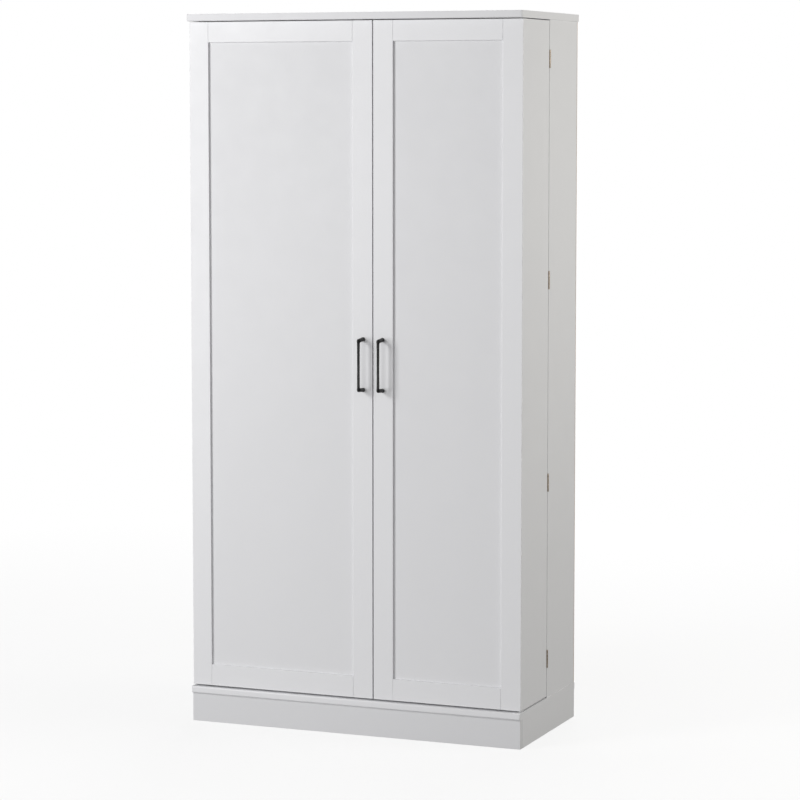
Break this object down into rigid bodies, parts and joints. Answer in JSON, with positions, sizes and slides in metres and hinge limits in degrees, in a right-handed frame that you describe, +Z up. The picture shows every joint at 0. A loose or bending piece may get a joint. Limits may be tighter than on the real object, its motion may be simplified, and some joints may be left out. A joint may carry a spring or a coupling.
{
  "type": "pantry cabinet",
  "caption": "Tall white pantry cabinet with two swing-out shelved doors of unequal width, recessed panels, slim black bow handles, an overhanging lid and a plain plinth.",
  "frame": {"origin": "on the floor, in the middle of the overall width and of the overall depth from handles to lid's rear edge", "axes": "+Z up, -Y is the front with the doors and handles, +X is to the right as seen from the front"},
  "size_m": [0.9116, 0.448, 1.829],
  "materials": {
    "white_paint": "satin white paint over smooth fibreboard",
    "white_melamine": "white melamine-faced particle board",
    "back_board": "hardboard, white inside and bare brown outside",
    "white_plastic": "matte white extruded strip",
    "zinc_steel": "zinc plated steel",
    "magnet_plate": "nickel plated magnet",
    "beech": "plain beech",
    "bronzed_steel": "antique bronze plating",
    "black_metal": "satin black powder coat"
  },
  "bodies": {
    "cabinet": {"top_panel": "white_paint", "base_panel": "white_paint", "plinth_front": "white_paint", "plinth_left": "white_paint", "plinth_right": "white_paint", "plinth_back": "white_paint", "plinth_brace": "white_paint", "side_panel_left": "white_paint", "side_panel_right": "white_paint", "back_panel_left": "back_board", "back_panel_right": "back_board", "back_joiner": "white_plastic", "fixed_shelf": "white_melamine", "shelf_1": "white_melamine", "shelf_2": "white_melamine", "shelf_3": "white_melamine", "shelf_4": "white_melamine", "shelf_pins": "zinc_steel", "cam_locks": "zinc_steel", "cam_dowels": "zinc_steel", "wood_dowels": "beech", "wall_brackets": "zinc_steel", "carcass_screws": "zinc_steel", "carcass_hinge_leaves": "bronzed_steel", "hinge_pins": "bronzed_steel", "catch_magnets": "magnet_plate"},
    "left_door": {"left_outer_stile": "white_paint", "left_inner_stile": "white_paint", "left_top_rail": "white_paint", "left_bottom_rail": "white_paint", "left_front_panel": "white_paint", "left_outer_side": "white_paint", "left_inner_side": "white_melamine", "left_box_top": "white_melamine", "left_box_bottom": "white_melamine", "left_door_shelf_1": "white_melamine", "left_door_shelf_2": "white_melamine", "left_door_shelf_3": "white_melamine", "left_guard_rails": "white_melamine", "left_hinge_leaves": "bronzed_steel", "left_door_screws": "zinc_steel", "left_strike_plate": "zinc_steel", "left_handle": "black_metal"},
    "right_door": {"right_outer_stile": "white_paint", "right_inner_stile": "white_paint", "right_top_rail": "white_paint", "right_bottom_rail": "white_paint", "right_front_panel": "white_paint", "right_outer_side": "white_paint", "right_inner_side": "white_melamine", "right_box_top": "white_melamine", "right_box_bottom": "white_melamine", "right_door_shelf_1": "white_melamine", "right_door_shelf_2": "white_melamine", "right_door_shelf_3": "white_melamine", "right_guard_rails": "white_melamine", "right_hinge_leaves": "bronzed_steel", "right_door_screws": "zinc_steel", "right_strike_plate": "zinc_steel", "right_handle": "black_metal"}
  },
  "joints": [
    {"name": "left_door_hinge", "type": "hinge", "parent": "cabinet", "child": "left_door", "pos_m": [-0.4535, 0.0046, 0.9525], "axis": [0, 0, -1], "range_deg": [0, 175]},
    {"name": "right_door_hinge", "type": "hinge", "parent": "cabinet", "child": "right_door", "pos_m": [0.4535, 0.0046, 0.9525], "axis": [0, 0, 1], "range_deg": [0, 175]}
  ]
}
